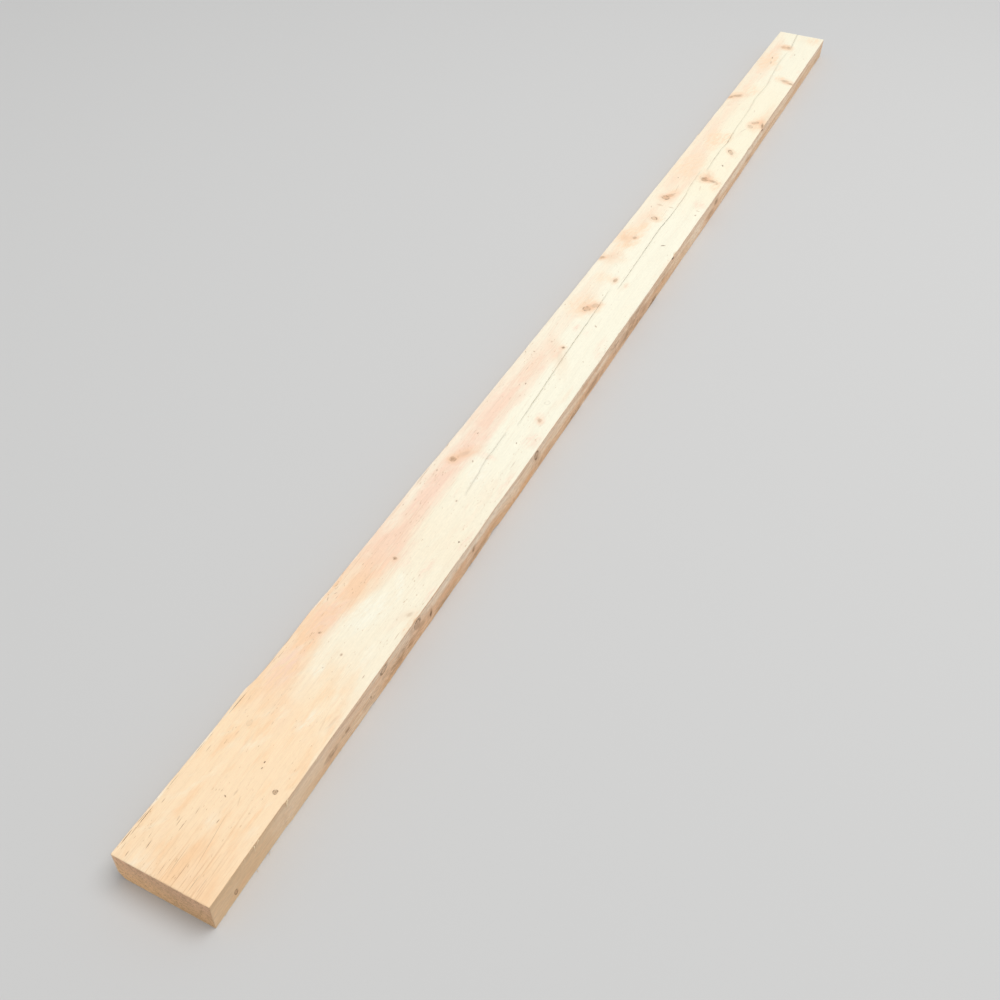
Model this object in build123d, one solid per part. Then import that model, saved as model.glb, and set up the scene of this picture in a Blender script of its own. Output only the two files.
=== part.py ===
from build123d import *
import math
import os

# Sawn softwood plank, lying on its wide face. Millimetres.
# X runs along the grain, Y across the width and Z up through the thickness.
# The origin is at the middle of the underside.

# Nominal sawn size
length = 4500.0
width = 200.0
thickness = 75.0
arris_radius = 1.5

# How the stock departs from a true block
spring = 8.0
near_end_skew = 2.6
far_end_skew = 3.0
trim = 50.0

# Step in the left side, where the edging saw started wide
ledge_depth = 2.0
ledge_length = 390.0
ledge_ramp = 25.0

# Wane: the round of the log left on the lower left arris at the near end
log_radius = 295.0
wane_width = 14.0
wane_height = 20.0
wane_length = 900.0

# Drying checks in the top face. Each follows the slope of the grain,
# and the next one starts again nearer the right side.
check_opening = 1.2
check_depth = 16.0
check_tilt = 40.0
check_shoulder = 0.3
checks = [
    # start x, start y, end x, end y
    (-1205.0, -27.0, -941.0, -15.0),
    (-912.0, -27.0, -191.0, -2.0),
    (-196.0, -22.0, 693.0, -5.0),
    (701.0, -21.0, 2005.0, 10.0),
    (length / 2 - 181.0, 8.0, length / 2 + 12.0, 23.0),
]

# Chips that the saw and handling have broken out of the arrises
chips = [
    # x, side, arris, length, depth
    (-2104.0, "right", "lower", 26.0, 2.0),
    (-1755.0, "right", "lower", 34.0, 3.0),
    (-1651.0, "right", "lower", 24.0, 2.5),
    (-1577.0, "right", "upper", 30.0, 2.5),
    (-1329.0, "right", "lower", 40.0, 3.0),
    (-1204.0, "right", "lower", 60.0, 5.0),
    (95.0, "right", "upper", 38.0, 4.0),
    (986.0, "left", "upper", 46.0, 3.0),
    (1182.0, "right", "upper", 36.0, 3.5),
    (1654.0, "right", "upper", 30.0, 2.5),
]


def bend(x):
    """How far the sprung plank stands towards -Y at x, against a straight line between its ends."""
    return spring * (1 - (2 * x / length) ** 2)


def sprung_line(start, end, y):
    """The line that runs along the plank at y, from x start to x end, as the parabola it springs to."""
    middle = (start + end) / 2
    pull = spring * (1 - 4 * start * end / length**2)
    return Bezier((start, y - bend(start)), (middle, y - pull), (end, y - bend(end)))


def ripped_outline():
    """The two long sides seen from above, with the step on the left, both still long at the ends."""
    near = -length / 2 - trim
    far = length / 2 + trim
    ledge_end = -length / 2 + ledge_length
    right = sprung_line(near, far, -width / 2)
    left = sprung_line(ledge_end + ledge_ramp, far, width / 2)
    ledge = sprung_line(near, ledge_end, width / 2 + ledge_depth)
    ramp = Line(left @ 0, ledge @ 1)
    return make_face(right + Line(right @ 1, left @ 1) + left + ramp + ledge + Line(ledge @ 0, right @ 0))


def between_the_cross_cuts():
    """What is kept when the two ends are sawn off, each cut a little out of square."""
    near_left = (-length / 2 + near_end_skew, width)
    near_right = (-length / 2 - near_end_skew, -width)
    far_left = (length / 2 - far_end_skew, width)
    far_right = (length / 2 + far_end_skew, -width)
    return extrude(make_face(Polyline(near_left, near_right, far_right, far_left, close=True)), thickness)


def sawn_block():
    """The stock as it left the saw: ripped, its long arrises just eased, and cut to length."""
    block = extrude(ripped_outline(), thickness)
    long_edges = block.edges().filter_by(lambda edge: abs(edge.tangent_at(0.5).X) > 0.9)
    return fillet(long_edges, arris_radius) & between_the_cross_cuts()


def log():
    """The tapered log the plank was cut from, whose round surface leaves the wane."""
    corner = Vector(0, width / 2 + ledge_depth, 0)
    on_underside = corner - Vector(0, wane_width, 0)
    on_side = corner + Vector(0, 0, wane_height)
    chord = on_side - on_underside
    inward = Vector(0, -chord.Z, chord.Y).normalized()
    reach = math.sqrt(log_radius**2 - (chord.length / 2) ** 2)
    pith = (on_underside + on_side) * 0.5 + inward * reach
    clear_radius = (Vector(0, width / 2, 0) - pith).length
    growth = (clear_radius - log_radius) / wane_length
    start = -length / 2 - trim
    span = length + 2 * trim
    small_end = log_radius - growth * trim
    frustum = Cone(small_end, small_end + growth * span, span, align=(Align.CENTER, Align.CENTER, Align.MIN))
    return Pos(start, pith.Y, pith.Z) * Rot(0, 90, 0) * frustum


def drying_check(start_x, start_y, end_x, end_y):
    """A split that opens from nothing to a V and closes again, leaning along the log's radius."""
    start = Vector(start_x, start_y, thickness)
    end = Vector(end_x, end_y, thickness)
    run = end - start
    across = Vector(-run.Y, run.X, 0).normalized() * (check_opening / 2)
    lean = math.radians(check_tilt)
    root = Vector(0, math.sin(lean), -math.cos(lean)) * check_depth
    sections = [Vertex(*tuple(start))]
    for share in (check_shoulder, 1 - check_shoulder):
        at = start + run * share
        sections.append(make_face(Polyline(at + across, at - across, at + root, close=True)))
    sections.append(Vertex(*tuple(end)))
    return loft(sections, ruled=True)


def arris_chip(x, side, arris, chip_length, depth):
    """A shallow scoop out of one arris, cut by a ball that reaches depth into the corner."""
    outward = -1 if side == "right" else 1
    upward = 1 if arris == "upper" else -1
    corner_y = outward * width / 2 - bend(x)
    corner_z = thickness if arris == "upper" else 0
    radius = (chip_length**2 / 4 + depth**2) / (2 * depth)
    stand_off = (radius - depth) / math.sqrt(2)
    return Pos(x, corner_y + outward * stand_off, corner_z + upward * stand_off) * Sphere(radius)


plank = sawn_block() & log()
for check in checks:
    plank -= drying_check(*check)
for chip in chips:
    plank -= arris_chip(*chip)

box = plank.bounding_box()
middle = box.center()
plank = Pos(-middle.X, -middle.Y, -box.min.Z) * plank
plank.label = "plank"

os.makedirs("parts", exist_ok=True)
export_step(plank, "parts/plank.step")
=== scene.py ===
import bpy
import bmesh
import math
import numpy as np
from mathutils import Euler, Matrix, Vector, noise


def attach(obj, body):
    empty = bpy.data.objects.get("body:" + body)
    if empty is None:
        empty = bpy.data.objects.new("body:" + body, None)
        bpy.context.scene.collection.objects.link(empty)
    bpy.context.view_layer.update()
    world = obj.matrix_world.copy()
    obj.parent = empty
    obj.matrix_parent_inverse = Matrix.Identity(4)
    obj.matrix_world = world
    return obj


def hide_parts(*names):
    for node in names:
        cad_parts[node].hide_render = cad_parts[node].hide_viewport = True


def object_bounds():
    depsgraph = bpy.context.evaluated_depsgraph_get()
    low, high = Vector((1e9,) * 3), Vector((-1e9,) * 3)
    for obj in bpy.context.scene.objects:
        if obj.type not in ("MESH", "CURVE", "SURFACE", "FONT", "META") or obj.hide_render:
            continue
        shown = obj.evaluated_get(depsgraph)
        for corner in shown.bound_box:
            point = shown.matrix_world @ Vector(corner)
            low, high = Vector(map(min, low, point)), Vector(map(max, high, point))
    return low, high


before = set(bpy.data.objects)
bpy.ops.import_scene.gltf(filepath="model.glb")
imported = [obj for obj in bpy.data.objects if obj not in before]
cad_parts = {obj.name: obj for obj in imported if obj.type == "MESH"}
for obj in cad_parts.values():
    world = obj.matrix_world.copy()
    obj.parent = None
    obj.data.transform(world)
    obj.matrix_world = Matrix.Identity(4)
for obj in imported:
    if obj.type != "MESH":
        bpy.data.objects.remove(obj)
cad_low, cad_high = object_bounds()

# Sizes of the sawn stock, in metres
LENGTH = 4.5
WIDTH = 0.2
THICKNESS = cad_high.z
SPRING = 0.008
NEAR_SKEW = 0.0026
FAR_SKEW = 0.003
LEDGE_DEPTH = 0.002
LEDGE_END = -LENGTH / 2 + 0.39
LEDGE_RAMP = 0.025

# The plank's own middle: x runs along the grain and b across it, straightened of its spring
MIDDLE_X = cad_low.x + (LENGTH + NEAR_SKEW) / 2
MIDDLE_Y = cad_high.y - LEDGE_DEPTH - WIDTH / 2
MM = 0.001
SIGNS = {"right": -1, "left": 1, "lower": -1, "upper": 1}

# The faces, by the number of their finish
TOP, UNDERSIDE, RIGHT, LEFT, ENDS = range(5)

# The log that the plank was cut from: its pith runs above the right side and crosses slowly to the left
LOG_RADIUS = 0.295
WANE_WIDTH = 0.014
WANE_HEIGHT = 0.02
WANE_LENGTH = 0.9
PITH_B = -0.13
PITH_Z = 0.201
GRAIN_SLOPE = 0.026
RING_WIDTH = 0.0042

# Cells of the section, and how far the first ones stand from an arris
COLUMNS = 50
ROWS = 20
STATIONS = 670
CORNER_STEPS = [0, 0.0006, 0.0015, 0.0028, 0.0048, 0.008]
END_STEPS = [0, 0.0005, 0.0014, 0.003, 0.0055, 0.009]
END_ARRIS = 0.0012
ARRIS_WEAR = 0.0014
NEAR_TO_FAR_STEP = 0.26

# How many small nicks the arrises have, and how far from an end its cut's skew reaches
NICKS = 150
SKEW_REACH = 0.3

# The saw's waves: how far a face lies in where there is none, and how high the slow and quick ones are
WAVE_REST = 0.0003
SLOW_WAVE = 0.00022
QUICK_WAVE = 0.0001

# Drying checks: how far apart their columns rest, the lip beside each, the depth that sets the painted shade
# inside them, the run in which a column settles, how much they wander, and the share of a check where it
# opens
CHECK_TRACK = 0.009
CHECK_LIP = 0.00016
CHECK_SHADE_DEPTH = 0.0065
CHECK_SETTLE = 0.025
CHECK_WIGGLE = 0.0007
CHECK_TAPER = 0.12

# Each check's points, as x, b and how wide it stands open there, in millimetres,
# then how deep it is at its widest and how far it leans to the left, in degrees
CHECKS = [
    ([(-1205, -21, 0.12), (-1129, -16, 0.16), (-1063, -8, 0.28), (-941, -8, 0.18)], 2.2, 40),
    ([(-912, -20, 1.1), (-770, -15, 1.4), (-630, -9, 1.45), (-514, -5, 1.5), (-359, -1, 1.5),
      (-200, 6, 0.9)], 14, 33),
    ([(-190, -15, 1.15), (77, -9, 1.4), (223, -5, 1.45), (308, -9, 1.15), (476, -8, 0.5), (560, -1, 0.3),
      (693, 3, 0.25)], 15, 30),
    ([(701, -14, 0.6), (898, -10, 1.2), (970, -16, 1.4), (1098, -8, 0.32), (1306, -6, 0.2), (1429, 3, 0.2),
      (1591, -5, 0.25), (1691, 4, 0.24), (1893, 14, 0.2), (2005, 11, 0.2)], 12, 15),
    ([(2062, 9, 0.6), (2110, 12, 0.62), (2250, 23, 0.54)], 13, 1),
]

# Bites out of the arrises: x, side, edge, length and depth in millimetres
CHIPS = [
    (-2104, "right", "lower", 26, 2),
    (-1755, "right", "lower", 34, 3),
    (-1651, "right", "lower", 24, 2.5),
    (-1577, "right", "upper", 30, 2.5),
    (-1329, "right", "lower", 40, 3),
    (-1204, "right", "lower", 60, 5),
    (95, "right", "upper", 38, 4),
    (986, "left", "upper", 40, 2.4),
    (1182, "right", "upper", 36, 3.5),
    (1654, "right", "upper", 30, 2.5),
]

# Where the saw strayed on the two long sides: x and how far out, in millimetres
LEFT_EDGE = [(-1860, 0), (-1835, -0.9), (-1740, -1.2), (-1690, 0.6), (-1650, 1.8), (-1590, 0.2), (-1330, 0),
             (-1200, 1.8), (-1150, 1.4), (-1080, 0), (300, 0), (420, 1), (520, 0.2), (900, 0.4), (970, 1.7),
             (1000, -0.5), (1100, 0), (2050, 0), (2170, -0.9), (2250, -1.5)]
RIGHT_EDGE = [(-2250, -0.4), (-2150, -0.9), (-2046, -1.2), (-2032, 0.3), (-1960, 0), (-1240, 0),
              (-1204, -1), (-1160, 0), (900, 0), (960, -0.8), (1150, -1.6), (1450, -1.2),
              (1550, 0), (2250, 0)]

# A torn sliver that stands out of the left arris: x and how far out, in millimetres
SLIVER = [(-1946, 0), (-1900, 1.2), (-1878, 2.2), (-1868, 1.8), (-1860, 0)]
SLIVER_FOOT = 0.055

# Knots: x and b (or z) in millimetres, half size along and across, turn in degrees,
# and how strong the core, the dark rim and the stain round it are
KNOTS = {TOP: [
    (-2031, -73, 5, 4.6, 0, 0.62, 0.85, 0.12),
    (-1932, 51, 7, 5, 0, 0.14, 0.12, 0.05),
    (-1720, -14, 3.6, 3, 0, 0.55, 0.2, 0.15),
    (-1692, 54, 4.2, 2.8, -15, 0.5, 0.1, 0.3),
    (-1568, -82, 11, 5, -20, 0.24, 0.1, 0.3),
    (-1444, 23, 5, 4.4, 0, 0.66, 0.35, 0.7),
    (-1222, -11, 4.2, 2.6, 0, 0.66, 0.1, 0.1),
    (-1096, 63, 8.5, 7.6, 10, 0.5, 0.45, 0.8),
    (-1066, 48, 22, 9, -32, 0.18, 0, 0.85),
    (-864, -60, 8, 5.5, 30, 0.42, 0.2, 0.55),
    (-788, -48, 9, 7, 0, 0.03, 0.16, 0),
    (-542, 11, 6.5, 5, 0, 0.62, 0.3, 0.6),
    (-590, 1, 44, 11, 27, 0.1, 0, 0.32),
    (-331, 27, 12, 10.5, 0, 0.3, 0.62, 1),
    (-305, 13, 14, 8.5, -35, 0.26, 0.25, 1),
    (-146, 10, 12, 5.5, 0, 0.5, 0.3, 0.8),
    (-158, -29, 10, 5, 0, 0.08, 0, 0.3),
    (-39, 93, 11, 7, -20, 0.42, 0.2, 0.75),
    (-20, 68, 20, 22, 0, 0.05, 0, 0.55),
    (126, 46, 8, 6, 10, 0.44, 0.35, 0.8),
    (112, 72, 22, 11, 30, 0.08, 0, 0.6),
    (279, 33, 12, 9, 30, 0.26, 0.62, 0.8),
    (436, 47, 14, 12, 0, 0.34, 0.8, 0.85),
    (462, 36, 20, 8, -25, 0.34, 0.2, 0.8),
    (636, -28, 16, 12, 15, 0.5, 0.45, 0.9),
    (668, -33, 22, 10, 20, 0.12, 0, 0.7),
    (632, -58, 8, 17, -12, 0.44, 0.34, 0.5),
    (622, -77, 9, 7, 0, 0.3, 0, 0.3),
    (893, -50, 18, 8.5, 32, 0.34, 0.6, 0.75),
    (1150, -53, 17, 9, 15, 0.26, 0.32, 0.6),
    (1194, -61, 15, 10, -30, 0.3, 0.34, 0.8),
    (1176, -94, 32, 6.5, 14, 0.6, 0.2, 0.8),
    (1240, -88, 70, 12, 0, 0.05, 0, 0.35),
    (1388, 92, 13, 8, -20, 0.42, 0.25, 0.6),
    (1416, 72, 27, 13, -42, 0.36, 0.2, 0.7),
    (1668, -60, 14, 18, -14, 0.38, 0.2, 0.7),
    (1652, -88, 12, 13, -20, 0.42, 0.15, 0.65),
    (2056, 38, 17, 13, 0, 0.32, 0.15, 0.6),
    (2058, 16, 20, 11, 10, 0.36, 0.15, 0.6),
], RIGHT: [
    (-2191, 20, 4.5, 7, 0, 0.45, 0.9, 0.15),
    (-1896, 28, 7, 7, 0, 0.3, 0.55, 0.25),
    (-1841, 32, 7, 5, 0, 0.62, 0.4, 0.3),
    (-1755, 31, 3, 5, 0, 0.7, 0, 0.1),
    (-1704, 60, 13, 8, 15, 0.3, 0.75, 0.3),
    (-1700, 40, 20, 9, 0, 0.26, 0, 0.3),
    (-1568, 54, 13, 14, 10, 0.38, 1, 0.6),
    (-1552, 34, 26, 12, -15, 0.42, 0, 0.6),
    (-1510, 27, 5.5, 14, 0, 0.85, 0.25, 0.6),
    (-1400, 24, 60, 9, 0, 0.16, 0, 0.4),
    (-1312, 40, 6, 9, 0, 0.55, 0.35, 0.35),
    (-970, 56, 11, 13, 20, 0.45, 0.9, 0.45),
    (-590, 16, 60, 14, 0, 0.34, 0, 0.6),
    (-340, 24, 70, 18, 0, 0.4, 0, 0.6),
    (-180, 30, 30, 16, 0, 0.36, 0, 0.5),
    (70, 71, 16, 5, -20, 1, 0.5, 0.4),
    (558, 42, 26, 12, -14, 0.66, 0.2, 0.7),
    (500, 26, 60, 12, 0, 0.22, 0, 0.6),
    (1160, 68, 22, 6, -12, 0.75, 0.1, 0.4),
], UNDERSIDE: [
    (-1540, -60, 14, 11, 0, 0.3, 0.4, 0.7),
    (-655, 20, 9, 8, 0, 0.35, 0.4, 0.6),
    (330, -35, 16, 12, 15, 0.3, 0.4, 0.8),
    (1205, 55, 11, 9, 0, 0.35, 0.4, 0.6),
    (1830, -10, 13, 10, 0, 0.3, 0.4, 0.7),
], LEFT: [
    (-1760, 44, 6, 7, 0, 0.3, 0.5, 0.4),
    (-820, 30, 10, 12, 0, 0.3, 0.4, 0.6),
    (305, 50, 8, 9, 0, 0.35, 0.4, 0.5),
    (1392, 66, 16, 8, 0, 0.5, 0.3, 0.6),
]}

# Specks, scratches and torn places on the top: as for knots, but each is only a mark,
# dark above 0 and bare pale wood below 0
TOP_FLECKS = [
    (-2236, 78, 7, 1, 4, 0.5), (-2228, 92, 9, 0.8, 2, 0.5), (-2206, 57, 12, 1.1, 3, 0.55),
    (-2192, 66, 8, 0.8, 6, 0.45), (-2168, 96, 26, 0.7, 1, 0.85), (-2196, 95, 16, 0.7, 0, 0.6),
    (-2146, 44, 7, 1.6, 8, 0.35), (-2150, 39, 13, 0.9, 2, 0.45), (-2120, 24, 10, 1, 5, 0.4),
    (-2155, 29, 12, 1.2, 0, 0.5), (-2076, -1, 4, 1.6, 60, 0.55), (-2121, -19, 6, 1.2, 0, 0.5),
    (-2155, -31, 86, 0.8, 7.5, 0.42), (-2205, -4, 42, 0.7, 3, 0.42), (-2222, -22, 26, 0.9, 2, 0.45),
    (-2230, -52, 22, 0.9, 1, 0.4), (-2226, -66, 20, 0.8, 0, 0.42), (-2233, 10, 18, 0.8, 3, 0.4),
    (-1989, -22, 3.2, 1.6, 0, 0.75), (-2001, -25, 3.4, 1.5, 0, 0.7), (-2062, -13, 9, 2.4, 0, 0.3),
    (-2074, -28, 12, 2, 20, 0.24), (-1905, 96.3, 36, 0.7, -1.5, 0.95), (-2090, 97, 22, 0.7, 0, 0.55),
    (-2130, 88, 8, 1.2, 0, 0.4), (-1763, 1, 3, 1.5, 0, 0.5), (-1746, -80, 6, 1.5, 0, 0.45),
    (-1876, -70, 22, 3, 10, 0.16), (-1862, -84, 20, 4, 0, 0.18), (-1629, -87, 14, 1.4, 0, 0.35),
    (-1337, -76, 3, 2.5, 0, 1), (-1149, 78, 4.2, 1.8, 15, 0.6), (-1081, 18, 6, 1.8, 25, 0.6),
    (-981, 54, 4.5, 2.6, 0, 0.5), (-971, -46, 5, 1.8, 15, 0.6), (-1048, -72, 22, 1.8, 0, 0.26),
    (-740, 34, 5.5, 1.8, 10, 0.65), (-597, 74, 4, 3, 30, 0.5), (-531, 50, 6, 4, 0, 0.35),
    (-752, 47, 5, 1.5, 0, 0.5), (-678, 58, 12, 1.2, 0, 0.35), (-403, -29, 7.5, 3.4, 40, 0.5),
    (-578, -62, 4, 2, 30, 0.45), (-680, -37, 4, 3, 0, 0.24), (-240, 13, 5, 2, 0, 0.35),
    (123, -50, 3.2, 11, 34, 0.85), (376, 46, 8, 12, 4, 0.3), (378, 8, 6, 14, 0, 0.28),
    (366, -80, 7, 4, 0, 0.5), (-1608, 88, 8, 1.4, 20, 0.4), (-1588, 82, 6, 1.6, -30, 0.45),
    (-1596, 74, 7, 1.2, 0, 0.35), (-1566, 92, 6, 1.4, 0, 0.4), (-1560, 78, 5, 1.2, 40, 0.3),
    (398, -78, 4, 9, 0, 0.4), (350, 68, 9, 2, 20, 0.4), (600, 56, 5, 2.4, 0, 0.6),
    (520, 34, 36, 1, 6, 0.4), (330, 14, 40, 1, 2, 0.3), (562, -36, 24, 4, 10, 0.2),
    (771, -54, 9, 3.6, 35, 0.75), (975, -16, 9, 2.4, 0, 0.55), (1102, -39, 34, 2.2, -16, 0.26),
    (1300, -30, 16, 3, 8, 0.24), (1310, 76, 16, 8, 0, 0.08), (1903, 50, 13, 3.4, 4, 0.62),
    (1846, 42, 22, 5, 8, 0.3), (1695, 49, 10, 4, 0, 0.2), (1990, -27, 16, 2.6, 5, 0.45),
    (1962, -72, 12, 3, 0, 0.2), (940, 66, 12, 2, 0, 0.2),
    (-2212, 98.6, 22, 0.9, 2, 0.8), (-2172, 99, 15, 0.7, -2, 0.7),
    (-2016, 98.2, 20, 0.6, 0, 0.6), (-2040, 97.4, 14, 0.5, 0, -0.7),
    (-1988, 97, 12, 0.6, 0, 0.5), (-1925, 97.4, 30, 0.7, -1.5, -0.9), (-1800, 97.4, 34, 0.6, 0, 0.55),
    (-1790, 94, 16, 0.6, -2, 0.45), (-1772, 90.5, 14, 0.7, 0, 0.5), (-1735, 97.8, 26, 0.6, 0, 0.45),
    (-1180, 97.6, 46, 0.7, 0.6, 0.6), (-1150, 96, 38, 0.6, 0.5, -0.7), (-1205, 95, 22, 0.6, 0, 0.45),
    (-1058, 98, 12, 0.8, 4, 0.6), (-1290, 90, 4, 1.2, 0, 0.5), (-610, 93, 6, 1.6, 30, 0.45),
    (-430, 88, 20, 1.2, 5, 0.2), (-2010, 84, 10, 1.4, 0, 0.3),
    (-1885, 84, 9, 1.6, 12, 0.22), (-1960, 58, 7, 2, 0, 0.18), (-1650, 74, 10, 1.2, 0, 0.3),
]
KNOTS[TOP] += [(*fleck, 0, 0) for fleck in TOP_FLECKS]

# How far a knot's stain and its bare rim reach, in half sizes, how deep it goes in millimetres, the room
# for one cell, the layers that overlapping knots go on, what a cell without a knot carries and what
# a knot gives
KNOT_REACH = 3.2
KNOT_RIM_REACH = 1.6
KNOT_DEPTH = 30
CELL = 0.007
KNOT_LAYERS = ("a", "b", "c", "d")
KNOT_PARTS = {"centre": (0, 0, -100), "turn": (0, 0, 0), "size": (1, 1, 1), "strength": (0, 0, 0)}
KNOT_MARKS = ("Core", "Rim", "Stain", "Push")

# Soft patches of another colour, by face and kind: x and b (or z) in millimetres,
# half size along and across, turn in degrees and strength
PATCHES = {
    ("top", "pale"): [
        (-1595, -8, 90, 44, -8, 0.75), (-1512, -26, 60, 14, 24, 0.8), (-1772, 4, 24, 12, 0, 0.8),
        (-2128, -6, 34, 14, -10, 0.25), (-1700, -60, 60, 18, 10, 0.4), (-1105, -10, 90, 40, 15, 0.7),
        (-1960, 20, 44, 12, -20, 0.35), (-1880, -40, 50, 16, -14, 0.4), (-1350, 84, 60, 16, 0, 0.35),
        (-1240, 88, 90, 14, 0, 0.35), (-2236, 40, 30, 60, 0, 0.2), (400, -84, 40, 20, 0, 0.6),
    ],
    ("top", "rosy"): [
        (-1450, 0, 34, 26, 0, 0.35), (-1050, -2, 18, 36, 0, 0.6), (-945, -76, 46, 34, 0, 0.45),
        (-1500, -93, 30, 12, 0, 0.6), (-1640, 62, 110, 40, 0, 0.5), (-1800, 66, 90, 34, 0, 0.7),
        (-659, 25, 24, 14, 0, 0.5), (-434, 16, 30, 16, 0, 0.45), (-449, -18, 24, 12, 0, 0.3),
        (-500, -82, 80, 22, 8, 0.28), (-1000, 36, 70, 18, -14, 0.5), (-830, 62, 120, 26, 0, 0.4),
        (440, -70, 44, 30, 20, 0.6), (-858, -60, 34, 18, 20, 0.6), (-158, -30, 20, 12, 0, 0.4),
        (-570, 20, 50, 20, 0, 0.5), (-1330, -88, 60, 10, 0, 0.5), (-1120, -86, 90, 12, 0, 0.4),
        (-1440, -52, 46, 16, 0, 0.4), (-1420, 8, 70, 16, 0, 0.3),
    ],
    ("top", "orange"): [
        (-1910, -2, 32, 18, 0, 0.6), (-1588, -95, 50, 10, 0, 0.9), (-1862, -86, 34, 14, 0, 0.9),
        (-2205, -30, 60, 34, 6, 0.95), (-2190, 50, 50, 10, 6, 0.4), (-2230, -70, 40, 30, 0, 0.8),
        (-320, 42, 90, 70, 0, 0.6), (-318, 5, 36, 20, 0, 1), (-150, 42, 50, 46, 0, 0.4),
        (120, 60, 130, 54, 0, 0.9), (205, 42, 50, 24, 0, 0.9), (290, 18, 50, 28, 0, 0.6),
        (480, 34, 60, 18, -10, 0.7), (700, 46, 170, 70, 0, 0.6), (640, -44, 50, 60, 0, 0.5),
        (960, 34, 130, 42, 8, 0.9), (1200, -74, 120, 40, 0, 0.8), (1330, -84, 160, 20, 0, 0.2),
        (1500, 34, 90, 50, 0, 0.5), (1865, 58, 170, 60, 0, 0.9), (1690, -36, 36, 32, 0, 0.8),
        (2060, 28, 48, 44, 0, 0.8), (2200, -62, 80, 50, 0, 0.5), (1430, 78, 70, 36, -20, 0.5),
        (600, -80, 60, 26, 0, 0.6), (1000, 0, 80, 30, 0, 0.9), (1000, 40, 60, 30, 0, 0.5),
        (1800, 0, 60, 24, 0, 0.4), (-2150, -76, 60, 20, 0, 0.5), (-2080, 88, 60, 10, 0, 0.4),
    ],
    ("right", "pale"): [
        (-1450, 52, 120, 13, 0, 0.7), (-1300, 52, 120, 13, 0, 0.7), (-1150, 52, 110, 14, 0, 0.9),
        (-2040, 30, 70, 30, 0, 0.35), (350, 34, 110, 36, 0, 1), (640, 14, 70, 14, 0, 0.7),
        (650, 54, 80, 14, 0, 0.7), (800, 44, 80, 24, 0, 0.9), (960, 52, 140, 16, 0, 1),
        (1110, 52, 130, 15, 0, 1), (1260, 50, 100, 14, 0, 0.6), (-560, 48, 120, 12, 0, 0.5),
    ],
    ("right", "brown"): [
        (-1896, 27, 34, 14, 0, 0.6), (-1841, 31, 26, 12, 0, 0.5), (-1755, 24, 60, 16, 0, 0.35),
        (-1640, 24, 90, 22, 0, 0.5), (-1580, 50, 40, 28, 0, 0.4), (-1514, 28, 18, 28, 0, 0.6),
        (-1450, 12, 90, 14, 0, 0.45), (-1290, 14, 110, 14, 0, 0.45), (-1312, 40, 22, 18, 0, 0.45),
        (-970, 42, 36, 26, 0, 0.4), (-920, 12, 90, 13, 0, 0.35), (-700, 10, 120, 13, 0, 0.7),
        (-560, 20, 110, 20, 0, 0.8), (-400, 20, 70, 20, 0, 0.5), (-250, 32, 150, 42, 0, 0.7),
        (-240, 12, 140, 18, 0, 0.7), (-95, 8, 70, 14, 0, 0.9), (-30, 44, 100, 20, 0, 0.35),
        (500, 22, 70, 22, 0, 0.7), (565, 42, 36, 16, -14, 0.6), (1000, 26, 90, 14, 0, 0.3),
        (2170, 16, 90, 22, 0, 0.35), (-1600, 30, 90, 30, 0, 0.6), (-400, 44, 110, 16, 0, 0.5),
        (-250, 60, 120, 14, 0, 0.3), (-1450, 6, 60, 8, 0, 0.5),
    ],
    ("right", "orange"): [
        (-1570, 22, 120, 20, 0, 1), (-1420, 20, 90, 16, 0, 0.8), (-1050, 16, 190, 16, 0, 0.8),
        (-1660, 20, 80, 16, 0, 0.5), (-1220, 22, 90, 14, 0, 0.5), (-30, 28, 80, 20, 0, 0.6),
        (-700, 20, 150, 16, 0, 0.5), (-2180, 14, 60, 12, 0, 0.3),
    ],
}
PATCH_KINDS = {"pale": 0, "rosy": 1, "brown": 1, "orange": 2}
PATCH_EDGE = 1.35

# How bright the empty surround looks and how much light it gives, the floor's grey, and the lamp
BACKDROP = 0.67
SURROUND = 0.52
FLOOR_GREY = (0.64, 0.64, 0.635)
LAMP_PLACE = Vector((0.8, -2.5, 10))
LAMP_WATTS = 634
LAMP_WIDTH = 8

# Where the photograph was taken from
CAMERA_PLACE = Vector((-2.7773, -0.7838, 1.7037))
CAMERA_RIGHT = Vector((0.42678, -0.90341, 0.04132))
CAMERA_DOWN = Vector((-0.60486, -0.31912, -0.72959))
LENS_MM = 37.504
SENSOR_MM = 36


def bend(x):
    """How far the sprung plank stands towards -Y at x."""
    return SPRING * (1 - (2 * x / LENGTH) ** 2)


def wander(x, step, seed):
    """A broken line between -1 and 1 that takes a new course about every step."""
    rng = np.random.default_rng(seed)
    posts = np.arange(-LENGTH / 2 - step, LENGTH / 2 + 2 * step, step)
    return np.interp(x, posts, rng.uniform(-1, 1, len(posts)))


def with_end_steps(steps, total, middle):
    """Distances from 0 to total: fine steps at both ends and the middle ones between them."""
    return np.concatenate([steps[:-1], middle, total - np.array(steps[-2::-1])])


def station_places():
    """x of each cross-section, closer together at the near end, where the plank is seen best."""
    share = np.linspace(0, 1, STATIONS + 3 - 2 * len(END_STEPS))
    share = (1 - NEAR_TO_FAR_STEP) * share + NEAR_TO_FAR_STEP * share**2
    middle = END_STEPS[-1] + share * (LENGTH - 2 * END_STEPS[-1])
    return with_end_steps(END_STEPS, LENGTH, middle) - LENGTH / 2


def row_heights():
    """z of each row of vertices."""
    inner = CORNER_STEPS[-1]
    middle = np.linspace(inner, THICKNESS - inner, ROWS + 3 - 2 * len(CORNER_STEPS))
    return with_end_steps(CORNER_STEPS, THICKNESS, middle)


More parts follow.
